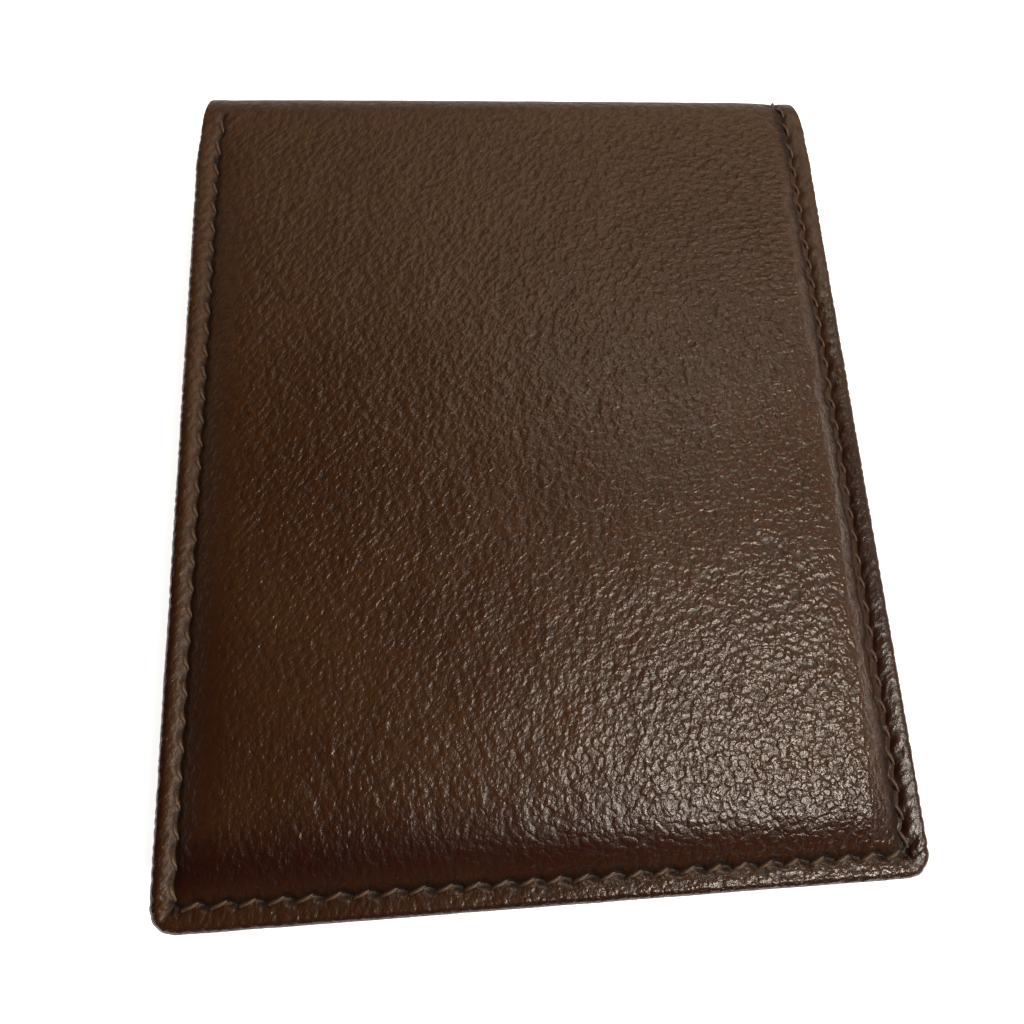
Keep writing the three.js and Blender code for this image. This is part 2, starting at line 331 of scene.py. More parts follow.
def border_wrinkles(x, s):
    """Slanting wrinkles that the sewing draws across the border."""
    closed, mouth, free = edge_distances(x, s)
    side = np.minimum(closed, mouth)
    across = np.minimum(side, free)
    on_side = side < free
    along = np.where(on_side, free, closed)
    reach = smooth((SEAM + 0.1 - across) / 0.8)
    lean = np.where(mouth < closed, 1.0, -1.0) * np.where(on_side, 0.75, 0.25)
    warp = 0.6 * value_noise(along / 1.9, across / 1.3, 61)
    warp = warp + 0.4 * value_noise(along / 0.9, across / 0.8, 63)
    phase = (along + lean * across) / 1.5 + warp
    ridge = np.abs(np.sin(np.pi * phase)) ** 0.8
    strength = 0.6 + 0.4 * value_noise(along / 3.1, across / 9.0, 62)
    amount = np.where(on_side, 0.15, 0.04) * (1 - onto_fold(s, 4, 6))
    return amount * reach * strength * (ridge - 0.6)


def grain_direction(x, s):
    """Which way the grain is drawn, how strongly, and how coarse it is, over the cover."""
    u, v = cover_shares(x, s)
    corners = {(0, 1): (45, 1.30), (1, 1): (12, 1.6), (0, 0): (96, 1.38), (1, 0): (25, 1.02)}
    cos2, sin2, stretch = 0, 0, 0
    for (cu, cv), (degrees, drawn) in corners.items():
        weight = (u if cu else 1 - u) * (v if cv else 1 - v)
        doubled = 2 * math.radians(degrees)
        cos2 = cos2 + weight * math.cos(doubled)
        sin2 = sin2 + weight * math.sin(doubled)
        stretch = stretch + weight * drawn
    coarse = smooth(0.25 + 0.9 * u - 0.8 * v)
    # the front cover's places run down the strip, so directions are mirrored there
    angle = np.arctan2(sin2, cos2) / 2
    return np.where(is_front(s), -angle, angle), stretch, coarse


def grain_strength(x, s):
    """Full on the covers' faces, weak where the leather was stretched smooth."""
    closed, mouth, free = edge_distances(x, s)
    near_fold = smooth((FLAT - 1.0 - free) / 5)
    past_slope = 0.35 + 0.65 * smooth((closed - SEAM - 1.5) / 7)
    past_lower_slope = 0.6 + 0.4 * smooth((free - SEAM - 2) / 6)
    on_face = (0.22 + 0.78 * near_fold) * past_slope * past_lower_slope
    on_border = np.where(mouth < SEAM, 0.3, 0.5)
    return np.where(nearest(closed, mouth, free) > SEAM, on_face, on_border)


def grain(x, s):
    """Height of the pebbles, and the painted shade in the creases between them."""
    angle, stretch, coarse = grain_direction(x, s)
    warp_x = x + 0.45 * layered_noise(x / 1.3, s / 1.3, 11)
    warp_s = s + 0.45 * layered_noise(x / 1.3, s / 1.3, 15)
    small = cells(warp_x, warp_s, SMALL_PEBBLE, 21, angle, stretch)
    large = cells(warp_x, warp_s, LARGE_PEBBLE, 31, angle, stretch)
    pebble = (1 - coarse) * small + coarse * (0.6 * large + 0.4 * small)
    dome = np.sqrt(np.clip(pebble, 0, 1))
    broad = layered_noise(x / 4.2, s / 4.2, 71)
    drawn_u = x * np.cos(angle) + s * np.sin(angle)
    drawn_v = s * np.cos(angle) - x * np.sin(angle)
    folds = layered_noise(drawn_u / 3.2, drawn_v / 1.0, 81)
    height = (0.015 + 0.035 * coarse) * (dome - 0.65) + 0.05 * broad
    height = height + 0.08 * folds * (stretch - 0.9)
    strength = grain_strength(x, s)
    return height * strength, np.clip(1 - dome, 0, 1) * (0.1 + 0.2 * strength)


def grain_mix(x, s):
    """How much the fine grain is drawn out diagonally, along the strip, and across it."""
    u, v = cover_shares(x, s)
    diagonal = smooth(1.25 - 1.1 * u) * smooth(0.35 + 1.2 * v)
    along = smooth(1.1 - 1.6 * u) * smooth(0.9 - 1.9 * v)
    across = smooth(1.6 * u - 0.55) * smooth(1.8 * v - 0.7)
    closed, mouth, _ = edge_distances(x, s)
    on_side = smooth((SEAM + 0.2 - np.minimum(closed, mouth)) / 0.6)
    diagonal = np.maximum(diagonal * (1 - on_side), on_side)
    along, across = along * (1 - on_side), across * (1 - on_side)
    total = np.maximum(diagonal + along + across, 1)
    return np.stack([diagonal / total, along / total, across / total], -1)


def painted_light_shade_and_wear(x, s):
    """Painted light and shade, with wear, from -1 to 1: lighter towards 1, darker towards -1."""
    closed, mouth, free = edge_distances(x, s)
    u, v = cover_shares(x, s)
    # painted light: lighter towards the fold, where more light falls on the cover
    painted_top_light = 0.4 * smooth((v - 0.5) / 0.5)
    # painted shade: darker on the slope down to the free edge and on the closed side's lower part,
    # which face away from the light
    low_slope = np.exp(-(((free - 7) / 4.4) ** 2)) * (0.95 - 0.4 * u)
    closed_strip = smooth((15 - closed) / 12) * smooth(1.15 - 1.5 * v) * 0.5
    on_pad = smooth((nearest(closed, mouth, free) - SEAM) / 0.6)
    pad = painted_top_light - np.maximum(low_slope, closed_strip)
    # painted shade on the closed side's outer rim, which faces away from the light; the rest of that
    # border is lighter with wear
    dark_edge = 1.6 * smooth((2.0 - closed) / 1.8) * smooth(1.25 - 1.1 * v)
    closed_border = 0.5 - 0.2 * smooth((0.7 - v) / 0.5) - dark_edge
    # painted shade on the mouth side's border below the fold, where the padding shades it, but not on
    # its outermost rim; painted light makes it lighter towards the fold
    dark_part = smooth((0.8 - v) / 0.4) * (1 - smooth((0.7 - mouth) / 0.6))
    mouth_border = 0.45 * smooth((v - 0.6) / 0.4) - 0.75 * dark_part
    # painted shade on the free edge's border, darkest on its outer rim
    free_border = -0.25 - 0.8 * smooth((1.2 - free) / 0.9)
    side = np.where(closed < mouth, closed_border, mouth_border)
    border = np.where(free < np.minimum(closed, mouth), free_border, side)
    light_shade_and_wear = border + (pad - border) * on_pad
    # on the fold only the painted light is kept
    return np.clip(light_shade_and_wear + (painted_top_light - light_shade_and_wear) * onto_fold(s, 3, 4), -1, 1)


def finish_relief(x, s):
    """How strong the fine grain is: most at the mouth side's two corners, less on the border and on
    the fold, where the leather is stretched."""
    closed, mouth, free = edge_distances(x, s)
    u, v = cover_shares(x, s)
    free_corner = smooth(1.8 * u - 0.7) * smooth(1.5 - 3.2 * v)
    fold_corner = smooth(2.2 * u - 0.6) * smooth(2.4 * v - 1)
    on_face = 0.72 - 0.24 * smooth(2.2 * u - 0.4) + 0.24 * free_corner + fold_corner
    on_face = on_face * (0.7 + 0.3 * smooth((free - SEAM - 3) / 8))
    on_border = np.where(mouth < SEAM, 0.3, 0.5)
    strength = np.where(nearest(closed, mouth, free) < SEAM, on_border, on_face)
    return strength * (1 - 0.5 * onto_fold(s, 4, 6))


def outer_face(x, s):
    """Depth of the outside face, and its painted shade, in the creases and in the seams' holes and
    grooves.
    """
    rise = padding_rise(x, s)
    depth = (sink(s) + border_arch(x, s)) * (1 - rise) - pillow(x, s) * rise - pucker(x, s)
    seam_depth, hole = seams(x, s)
    height, crease_shade = grain(x, s)
    depth = depth + seam_depth - height * (1 - hole) - border_wrinkles(x, s)
    return np.where(is_front(s), depth, np.maximum(depth, 0.02)), np.clip(crease_shade + hole, 0, 1.2)


def leather_back(x, s):
    """Depth of the back of the leather."""
    rise = padding_rise(x, s)
    return sink(s) * (1 - rise) + LEATHER - 0.85 * pillow(x, s) * rise


# Mesh making

class Shape:
    """Points and faces of one piece, gathered a block at a time."""

    def __init__(self):
        self.points, self.faces, self.places, self.creases, self.count = [], [], [], [], 0

    def add_points(self, x, s, depth, crease_shade=0.3):
        x, s, depth, crease_shade = np.broadcast_arrays(x, s, depth, crease_shade)
        self.points.append(place(x, s, depth).reshape(-1, 3))
        self.places.append(np.stack([x, s, depth], -1).reshape(-1, 3))
        self.creases.append(crease_shade.reshape(-1))
        first = self.count
        self.count += x.size
        return (first + np.arange(x.size)).reshape(x.shape)

    def add_grid(self, index, flip=False, closed=False):
        """Quads between the rows and columns of an array of point numbers."""
        if closed:
            index = np.concatenate([index, index[:, :1]], 1)
        a, b, c, d = index[:-1, :-1], index[:-1, 1:], index[1:, 1:], index[1:, :-1]
        quads = np.stack([a, d, c, b] if flip else [a, b, c, d], -1).reshape(-1, 4)
        self.faces.extend(quads.tolist())

    def add_face(self, loop, flip=False):
        loop = [int(i) for i in loop]
        self.faces.append(loop[::-1] if flip else loop)

    def arrays(self):
        return np.concatenate(self.points), np.concatenate(self.places), np.concatenate(self.creases)


def point_normals(points, faces):
    """Each point's normal, from the area normals of the faces around it, without the caps."""
    sizes = np.array([len(f) for f in faces])
    corner = np.concatenate(faces)
    starts = np.cumsum(sizes) - sizes
    following = np.arange(len(corner)) + 1
    last = starts + sizes - 1
    following[last] = starts
    owner = np.repeat(np.arange(len(faces)), sizes)
    face_sums = np.zeros((len(faces), 3))
    np.add.at(face_sums, owner, np.cross(points[corner], points[corner[following]]))
    face_sums[sizes > 4] = 0
    normals = np.zeros_like(points)
    np.add.at(normals, corner, face_sums[owner])
    return normals / np.maximum(np.linalg.norm(normals, axis=1, keepdims=True), 1e-20)


def add_attribute(mesh, name, values):
    """Values at the points, which the materials read: one number each, or three."""
    values = np.asarray(values, np.float32)
    kind, key = ("FLOAT_VECTOR", "vector") if values.ndim == 2 else ("FLOAT", "value")
    mesh.attributes.new(name, kind, "POINT").data.foreach_set(key, values.ravel())


def new_object(name, data):
    made = bpy.data.objects.new(name, data)
    SCENE.collection.objects.link(made)
    return made


def mesh_object(name, shape, material, ghost):
    """An object from a shape, without the points that no face uses. Ghost points only smooth the edge
    beside them, and are left out too."""
    points, places, creases = shape.arrays()
    keep = np.zeros(len(points), bool)
    keep[np.concatenate(shape.faces)] = True
    if ghost is not None:
        normals = point_normals(points, shape.faces)
        keep &= ~ghost
    number = np.cumsum(keep) - 1
    faces = [[int(number[i]) for i in f] for f in shape.faces if keep[f].all()]
    mesh = bpy.data.meshes.new(name)
    mesh.from_pydata(points[keep].tolist(), [], faces)
    places = places[keep]
    x, s = places[:, 0], places[:, 1]
    add_attribute(mesh, "place", places)
    # painted shade in creases, seam holes and seam grooves, which the materials darken and roughen
    add_attribute(mesh, "crease_shade", creases[keep])
    add_attribute(mesh, "drawn", grain_mix(x, s))
    is_shell = material.name.startswith("shell")
    # painted light and shade, with wear, on the shell only
    add_attribute(mesh, "light_shade_and_wear", painted_light_shade_and_wear(x, s) if is_shell else x * 0)
    add_attribute(mesh, "relief", finish_relief(x, s) if is_shell else x * 0 + 1)
    mesh.polygons.foreach_set("use_smooth", [True] * len(mesh.polygons))
    mesh.materials.append(material)
    if ghost is not None:
        mesh.normals_split_custom_set_from_vertices(normals[keep].tolist())
    return new_object(name, mesh)


def new_piece(name, shape, material, stands_for, ghost=None):
    piece = mesh_object(name, shape, material, ghost)
    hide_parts(*stands_for)
    return piece


def spaced(low, high, step):
    return np.linspace(low, high, max(2, int(round((high - low) / step)) + 1))


class Outline:
    """The plan of a flat or folded sheet, inset by its rim: rows along s, columns across, and rounded
    corners at the ends that are not cut."""

    def __init__(self, x_range, rows, inset, corner, cut=(False, False), columns=None, step=None):
        self.rows, self.cut = rows, cut
        self.corner = corner - inset
        self.middle = sum(x_range) / 2
        self.half = (x_range[1] - x_range[0]) / 2 - inset
        if columns is None:
            columns = spaced(-1, 1, step / self.half)
        into = self.into_corner(rows)
        narrowed = self.corner - np.sqrt(self.corner**2 - into**2)
        self.x = self.middle + columns[None, :] * (self.half - narrowed)[:, None]
        self.s = np.broadcast_to(rows[:, None], self.x.shape)

    def end_distance(self, rows):
        low = np.full(rows.shape, 1e9) if self.cut[0] else rows - self.rows[0]
        high = np.full(rows.shape, 1e9) if self.cut[1] else self.rows[-1] - rows
        return low, high

    def into_corner(self, rows):
        return np.clip(self.corner - np.minimum(*self.end_distance(rows)), 0, self.corner)

    def outward(self, x, s):
        """The direction out of the sheet's edge, in (x, s)."""
        off_x = x - self.middle
        off_x = np.sign(off_x) * np.clip(np.abs(off_x) - (self.half - self.corner), 0, None)
        low, high = self.end_distance(s)
        off_s = np.where(low < high, -1.0, 1.0) * self.into_corner(s)
        length = np.maximum(np.hypot(off_x, off_s), 1e-9)
        return off_x / length, off_s / length

    def loops(self):
        """The edge as arrays of (row, column), anticlockwise in (x, s), and whether each is closed."""
        count, last = len(self.rows), self.x.shape[1] - 1
        left = [(j, 0) for j in range(count)][::-1]
        right = [(j, last) for j in range(count)]
        low_end = [(0, i) for i in range(1, last)]
        high_end = [(count - 1, i) for i in range(1, last)][::-1]
        if not any(self.cut):
            return [(np.array(left + low_end + right + high_end), True)]
        if self.cut[0] and self.cut[1]:
            return [(np.array(left), False), (np.array(right), False)]
        whole = right + high_end + left if self.cut[0] else left + low_end + right
        return [(np.array(whole), False)]


def sheet_shape(outline, face, rim, other_depth, faces_in):
    """A closed sheet: its finely modelled face, the rings of its rim, its plain other side, and a cap
    on each cut end, one row in from the ghosts."""
    shape = Shape()
    x, s = outline.x, outline.s
    depth, crease_shade = face(x, s)
    top = shape.add_points(x, s, depth, crease_shade)
    shape.add_grid(top, flip=not faces_in)
    rims = {}
    for loop, closed in outline.loops():
        j, i = loop[:, 0], loop[:, 1]
        rings = [top[j, i]]
        out_x, out_s = outline.outward(x[j, i], s[j, i])
        for ring in rim(x[j, i], s[j, i], out_x, out_s, depth[j, i]):
            rings.append(shape.add_points(*ring))
        stack = np.array(rings)
        shape.add_grid(stack, flip=faces_in, closed=closed)
        rims.update({(int(a), int(b)): stack[1:, n].tolist() for n, (a, b) in enumerate(loop)})
    other = add_other_side(shape, outline, other_depth, rims, faces_in)
    for is_high, row in ((False, 1), (True, len(outline.rows) - 2)):
        if outline.cut[is_high]:
            right, left = rims[(row, x.shape[1] - 1)], rims[(row, 0)]
            loop = top[row].tolist() + right + other[row, -2:0:-1].tolist() + left[::-1]
            shape.add_face(loop, flip=is_high != faces_in)
    return shape


def add_other_side(shape, outline, other_depth, rims, flip):
    """The plain side, in long strips between the rim's last rings."""
    last_column, last_row = outline.x.shape[1] - 1, outline.x.shape[0] - 1
    coarse = np.unique(np.append(np.arange(0, last_column, 24), last_column))
    x, s = outline.x[:, coarse], outline.s[:, coarse]
    index = shape.add_points(x, s, other_depth(x, s))
    for row in range(last_row + 1):
        index[row, 0] = rims[(row, 0)][-1]
        index[row, -1] = rims[(row, last_column)][-1]
    low = 0 if outline.cut[0] else 1
    high = last_row if outline.cut[1] else last_row - 1
    shape.add_grid(index[low:high + 1], flip=flip)
    for end, beside, is_low in ((0, low, True), (last_row, high, False)):
        if outline.cut[0 if is_low else 1]:
            continue
        for a in range(len(coarse) - 1):
            ring = [rims[(end, i)][-1] for i in range(coarse[a], coarse[a + 1] + 1)]
            loop = ring + [index[beside, a + 1], index[beside, a]]
            shape.add_face(loop, flip=flip == is_low)
    return index


def rounded_rim(other, reach, crease_shade=0.3):
    """Rings round a sheet's edge, from its face to its other side. Reach gives how far out the middle
    ring lies, from the sheet's thickness there."""
    def rim(x, s, out_x, out_s, depth):
        rings = []
        back = other(x, s)
        for k in range(1, 5):
            turn = math.pi * k / 4
            off = reach(back - depth) * math.sin(turn)
            ring_depth = (depth + back) / 2 + (depth - back) / 2 * math.cos(turn)
            rings.append((x + out_x * off, s + out_s * off, ring_depth, crease_shade))
        return rings
    return rim


# Materials

def new_material(name):
    made = bpy.data.materials.new(name)
    made.use_nodes = True
    tree = made.node_tree
    tree.nodes.clear()
    return made, tree


def node(tree, kind, inputs=None, **settings):
    made = tree.nodes.new("ShaderNode" + kind)
    for key, value in settings.items():
        setattr(made, key, value)
    for key, value in (inputs or {}).items():
        if isinstance(value, bpy.types.NodeSocket):
            tree.links.new(value, made.inputs[key])
        else:
            made.inputs[key].default_value = value
    return made


def attribute(tree, name, output):
    return node(tree, "Attribute", attribute_name=name).outputs[output]


def noise(tree, vector, scale, detail=3.0, roughness=0.55, output="Fac"):
    inputs = {"Vector": vector, "Scale": scale, "Detail": detail, "Roughness": roughness}
    return node(tree, "TexNoise", inputs, noise_dimensions="2D").outputs[output]


def calculate(tree, operation, a, b):
    return node(tree, "Math", {0: a, 1: b}, operation=operation).outputs[0]


def add(tree, a, b):
    return calculate(tree, "ADD", a, b)


def multiply(tree, a, b):
    return calculate(tree, "MULTIPLY", a, b)


def vector_math(tree, operation, inputs, output="Vector"):
    return node(tree, "VectorMath", inputs, operation=operation).outputs[output]


def mapping(tree, inputs):
    return node(tree, "Mapping", inputs).outputs["Vector"]


def remap(tree, value, low, high, to_low=0, to_high=1):
    inputs = {"Value": value, "From Min": low, "From Max": high, "To Min": to_low, "To Max": to_high}
    return node(tree, "MapRange", inputs).outputs["Result"]


def mix_colour(tree, share, a, b):
    # a mix node's colours are its sockets 6 and 7, and its colour output is 2
    return node(tree, "Mix", {0: share, 6: a, 7: b}, data_type="RGBA").outputs[2]


def bump(tree, height, distance, strength=1.0, normal=None):
    inputs = {"Height": height, "Distance": distance, "Strength": strength}
    if normal is not None:
        inputs["Normal"] = normal
    return node(tree, "Bump", inputs).outputs["Normal"]


def finish_material(tree, base, roughness, more):
    inputs = {"Base Color": base, "Roughness": roughness, **more}
    shader = node(tree, "BsdfPrincipled", inputs)
    node(tree, "OutputMaterial", {"Surface": shader.outputs["BSDF"]})


def colour(r, g, b):
    """A colour given as it looks on screen, from 0 to 255."""
    def linear(c):
        c /= 255
        return c / 12.92 if c <= 0.04045 else ((c + 0.055) / 1.055) ** 2.4
    return (linear(r), linear(g), linear(b), 1.0)


def stretched_noise(tree, where, degrees, stretch, scale):
    """Noise drawn out along a direction on the leather."""
    turned = mapping(tree, {"Vector": where, "Rotation": (0, 0, math.radians(-degrees))})
    shrunk = mapping(tree, {"Vector": turned, "Scale": (1 / stretch, stretch, 1)})
    return noise(tree, shrunk, scale, 2.5, 0.5)


def fine_grain(tree, where, pebble_size):
    """Height of the grain too fine to model, from about 0 to 1: round pebbles, with smaller and larger
    bumps on them. It is drawn out where the leather was."""
    scale = 1 / pebble_size
    drift = noise(tree, where, 0.8 * scale, 1.0, output="Color")
    drift = vector_math(tree, "SCALE", {0: drift, "Scale": pebble_size})
    moved = vector_math(tree, "ADD", {0: where, 1: drift})
    from_top = node(tree, "TexVoronoi", {"Vector": moved, "Scale": scale},
                    voronoi_dimensions="2D").outputs["Distance"]
    domes = remap(tree, multiply(tree, from_top, from_top), 0, 0.5, 0.85, 0.15)
    even = noise(tree, where, 0.6 * scale, 3.0, 0.62)
    height = add(tree, multiply(tree, domes, 0.4), multiply(tree, even, 0.6))
    weights = node(tree, "SeparateXYZ", {0: attribute(tree, "drawn", "Vector")})
    for output, degrees in zip(weights.outputs, (-50, 88, -8)):
        drawn = stretched_noise(tree, where, degrees, 1.25, 0.9 * scale)
        difference = calculate(tree, "SUBTRACT", drawn, height)
        height = add(tree, height, multiply(tree, difference, multiply(tree, output, 0.8)))
    return height


def leather_material(name, dark, light, deep, lit_and_faded, painted_shade_colour, pebble_size, roughness, relief):
    """Pebbled leather: patchy dye, lighter in places as painted light and wear, darker as painted
    shade, painted shade in the grain's creases and seam holes, tops polished by handling, and a fine
    grain."""
    made, tree = new_material(name)
    where = attribute(tree, "place", "Vector")
    crease_shade = attribute(tree, "crease_shade", "Fac")
    light_shade_and_wear = attribute(tree, "light_shade_and_wear", "Fac")
    patches = noise(tree, where, 0.06)
    mottle = noise(tree, where, 0.9)
    pores = noise(tree, where, 5.5, 2.0, 0.6)
    fine = fine_grain(tree, where, pebble_size)
    # painted shade in the fine grain's valleys and in the mesh's creases and seam holes, which are also
    # rougher
    valley = remap(tree, fine, 0.58, 0.28, 0, 0.6)
    valley = add(tree, valley, crease_shade)
    dye = mix_colour(tree, remap(tree, patches, 0.35, 0.65), dark, light)
    dye = mix_colour(tree, remap(tree, mottle, 0.3, 0.7, 0, 0.35), dye, dark)
    # painted light and wear lighten the dye where the map is above 0, and painted shade darkens it
    # below 0
    dye = mix_colour(tree, remap(tree, light_shade_and_wear, 0, 1), dye, lit_and_faded)
    dye = mix_colour(tree, remap(tree, light_shade_and_wear, 0, -1), dye, painted_shade_colour)
    painted_crease_shade = multiply(tree, valley, remap(tree, pores, 0.2, 0.8, 0.6, 1.1))
    dye = mix_colour(tree, remap(tree, painted_crease_shade, 0.1, 1.1, 0, 0.93), dye, deep)
    creased = add(tree, multiply(tree, valley, 0.2), remap(tree, pores, 0.2, 0.8, 0, 0.1))
    rubbed = calculate(tree, "MAXIMUM", multiply(tree, light_shade_and_wear, 0.55), 0.0)
    drawn = {0: attribute(tree, "drawn", "Vector"), 1: (0.05,) * 3}
    drawn = vector_math(tree, "DOT_PRODUCT", drawn, "Value")
    rough = add(tree, add(tree, add(tree, creased, rubbed), roughness), drawn)
    centred = calculate(tree, "SUBTRACT", fine, 0.5)
    height = multiply(tree, centred, attribute(tree, "relief", "Fac"))
    normal = bump(tree, height, relief * MM)
    normal = bump(tree, pores, relief * 0.03 * MM, normal=normal)
    finish_material(tree, dye, rough, {"Normal": normal, "Specular IOR Level": 0.37})
    return made


def fabric_material(name, warp, weft, pitch):
    """Fine woven lining: warp and weft in two shades, with a twill's diagonal."""
    made, tree = new_material(name)
    where = attribute(tree, "place", "Vector")
    turned = mapping(tree, {"Vector": where, "Rotation": (0, 0, math.radians(45))})
    scale = math.tau / 20 / pitch
    ribs = {"Vector": turned, "Scale": scale, "Distortion": 0.4, "Detail": 1.0}
    ribs = node(tree, "TexWave", ribs)
    cross = {"Vector": where, "Scale": scale * 1.4}
    cross = node(tree, "TexWave", cross, bands_direction="Y")
    weave = multiply(tree, ribs.outputs["Fac"], remap(tree, cross.outputs["Fac"], 0, 1, 0.5, 1))
    lint = noise(tree, where, 1.3, 4.0)
    cloth = mix_colour(tree, weave, weft, warp)
    cloth = mix_colour(tree, remap(tree, lint, 0.45, 0.8, 0, 0.4), cloth, weft)
    finish_material(tree, cloth, remap(tree, lint, 0.3, 0.7, 0.75, 0.95), {
        "Normal": bump(tree, weave, 0.08 * MM, 0.9), "Sheen Weight": 0.15, "Sheen Roughness": 0.5,
    })
    return made


def thread_material(name, shade, dark):
    """Waxed sewing thread: fine fibres in two shades."""
    made, tree = new_material(name)
    where = attribute(tree, "place", "Vector")
    fibres = noise(tree, where, 9.0, 3.0, 0.6)
    twist = noise(tree, where, 2.2, 2.0)
    dye = mix_colour(tree, remap(tree, fibres, 0.3, 0.7), dark, shade)
    dye = mix_colour(tree, remap(tree, twist, 0.4, 0.7, 0, 0.4), dye, dark)
    finish_material(tree, dye, remap(tree, fibres, 0.3, 0.7, 0.4, 0.6), {
        "Normal": bump(tree, fibres, 0.04 * MM, 0.8), "Sheen Weight": 0.2, "Sheen Roughness": 0.4,
    })
    return made


def foam_material(name, shade, dark):
    """Open-cell foam sheet."""
    made, tree = new_material(name)
    where = attribute(tree, "place", "Vector")
    pores = node(tree, "TexVoronoi", {"Vector": where, "Scale": 2.2}).outputs["Distance"]
    cloud = noise(tree, where, 0.2)
    dye = mix_colour(tree, remap(tree, pores, 0.1, 0.6), dark, shade)
    dye = mix_colour(tree, remap(tree, cloud, 0.3, 0.7, 0, 0.4), dye, dark)
    rough = remap(tree, pores, 0, 0.6, 0.95, 0.8)
    finish_material(tree, dye, rough, {"Normal": bump(tree, pores, 0.1 * MM, 0.8)})
    return made


# Beside its dye, each leather has a lighter colour for painted light and wear, and a darker one for
# painted shade.
SHELL_LEATHER = leather_material(
    "shell_leather", dark=colour(57, 32, 13), light=colour(64, 39, 18), deep=colour(15, 4, 2),
    lit_and_faded=colour(82, 57, 36), painted_shade_colour=colour(36, 6, 2), pebble_size=0.85, roughness=0.2, relief=0.5)
INNER_LEATHER = leather_material(
    "inner_leather", dark=colour(50, 30, 16), light=colour(58, 34, 19), deep=colour(18, 8, 4),
    lit_and_faded=colour(66, 42, 24), painted_shade_colour=colour(34, 14, 8), pebble_size=0.6, roughness=0.34, relief=0.3)
LINING_FABRIC = fabric_material(
    "lining_fabric", warp=colour(62, 44, 33), weft=colour(34, 22, 16), pitch=0.28)
THREAD = thread_material("thread", colour(100, 72, 48), colour(52, 32, 18))
FOAM = foam_material("padding", colour(205, 196, 176), colour(150, 140, 120))


# Camera and lights

def add_camera():
    data = bpy.data.cameras.new("camera")
    data.sensor_width = 36
    data.lens = 23.2
    data.clip_start = 0.005
    made = new_object("camera", data)
    made.location = (-0.00864, -0.02788, 0.09294)
    made.rotation_euler = [math.radians(a) for a in (12.85, -3.43, -2.87)]
    SCENE.camera = made


def add_light(name, location, size, power, tint, target=(0, 0, 0)):
    data = bpy.data.lights.new(name, "AREA")
    data.shape = "RECTANGLE"
    data.size, data.size_y = size
    data.energy = power
    data.color = tint
    made = new_object(name, data)
    made.location = location
    aim = Vector(target) - Vector(location)
    made.rotation_euler = aim.to_track_quat("-Z", "Y").to_euler()


def add_world(strength):
    """A white background for the camera, which lights the object only dimly."""
    world = bpy.data.worlds.new("studio")
    world.use_nodes = True
    tree = world.node_tree
    tree.nodes.clear()
    seen = node(tree, "LightPath").outputs["Is Camera Ray"]
    level = remap(tree, seen, 0, 1, strength, 1.0)
    background = node(tree, "Background", {"Color": (1, 1, 1, 1), "Strength": level})
    node(tree, "OutputWorld", {"Surface": background.outputs[0]})
    SCENE.world = world


def add_floor():
    mesh = bpy.data.meshes.new("floor")
    reach, level = 3.0, -0.0001
    corners = [(-1, -1), (1, -1), (1, 1), (-1, 1)]
    mesh.from_pydata([(x * reach, y * reach, level) for x, y in corners], [], [(0, 1, 2, 3)])
    made, tree = new_material("floor")
    finish_material(tree, (0.93, 0.93, 0.93, 1), 0.8, {
        "Specular IOR Level": 0.2, "Emission Color": (1, 1, 1, 1), "Emission Strength": 0.85,
    })
    mesh.materials.append(made)
    floor = new_object("floor", mesh)


def add_lights():
    SCENE.view_settings.view_transform = "Standard"
    add_light("key", (0.262, -0.18, 0.46), size=(0.12, 0.12), power=2.85, tint=(1, 0.9, 0.78))
    add_light("softbox", (0.33, 0.57, 0.75), size=(0.4, 0.28), power=3.15, tint=(1, 0.93, 0.76),
              target=(0.33, 0.57, 0.0))
    add_light("right", (1.0, 0.25, 0.5), size=(0.6, 0.6), power=1.2, tint=(1, 0.85, 0.7))
    add_light("back", (0.1, 1.1, 0.6), size=(1.2, 0.6), power=0.6, tint=(1, 0.85, 0.6))


# The fold's quarter turns, and the rows of the pieces over them

QUARTERS = [FLAT + ARC * k / 4 for k in range(5)]


def arc_place(turn_degrees):
    """A point on the fold's outside, in metres."""
    return [float(v) for v in place(0.0, FLAT + math.radians(turn_degrees) * RADIUS, 0.0)]


def bend_between(piece, k):
    """Bakes the piece's transform into its mesh. The fold's places 3 degrees in from both ends of the
    kth quarter turn are worked out, but nothing uses them."""
    arc_place(45 * k + 3)
    arc_place(45 * k + 42)
    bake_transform(piece)


def quarter_rows(k, step, fold_step, edge, near_edge_step=None):
    """Rows of the strip's kth piece: the first and last have a flat half beside their quarter."""
    arc = spaced(QUARTERS[k], QUARTERS[k + 1], fold_step)
    if near_edge_step is None:
        flat = spaced(edge, FLAT, step)
    else:
        fine = spaced(edge, FINE_WIDTH, near_edge_step)
        flat = np.concatenate([fine[:-1], spaced(FINE_WIDTH, FLAT, step)])
    if k == 0:
        return np.concatenate([flat[:-1], arc])
    if k == 3:
        return np.concatenate([arc[:-1], (LENGTH - flat)[::-1]])
    return arc


def with_ghosts(rows, cut):
    """Rows with one more beyond each cut end, for normals that carry on into the next piece."""
    before = [2 * rows[0] - rows[1]] if cut[0] else []
    after = [2 * rows[-1] - rows[-2]] if cut[1] else []
    return np.concatenate([before, rows, after])


def ghost_points(shape, rows, cut):
    _, places, _ = shape.arrays()
    ghost = np.zeros(len(places), bool)
    for is_cut, row in zip(cut, (rows[0], rows[-1])):
        if is_cut:
            ghost |= np.abs(places[:, 1] - row) < 1e-6
    return ghost


# The shell

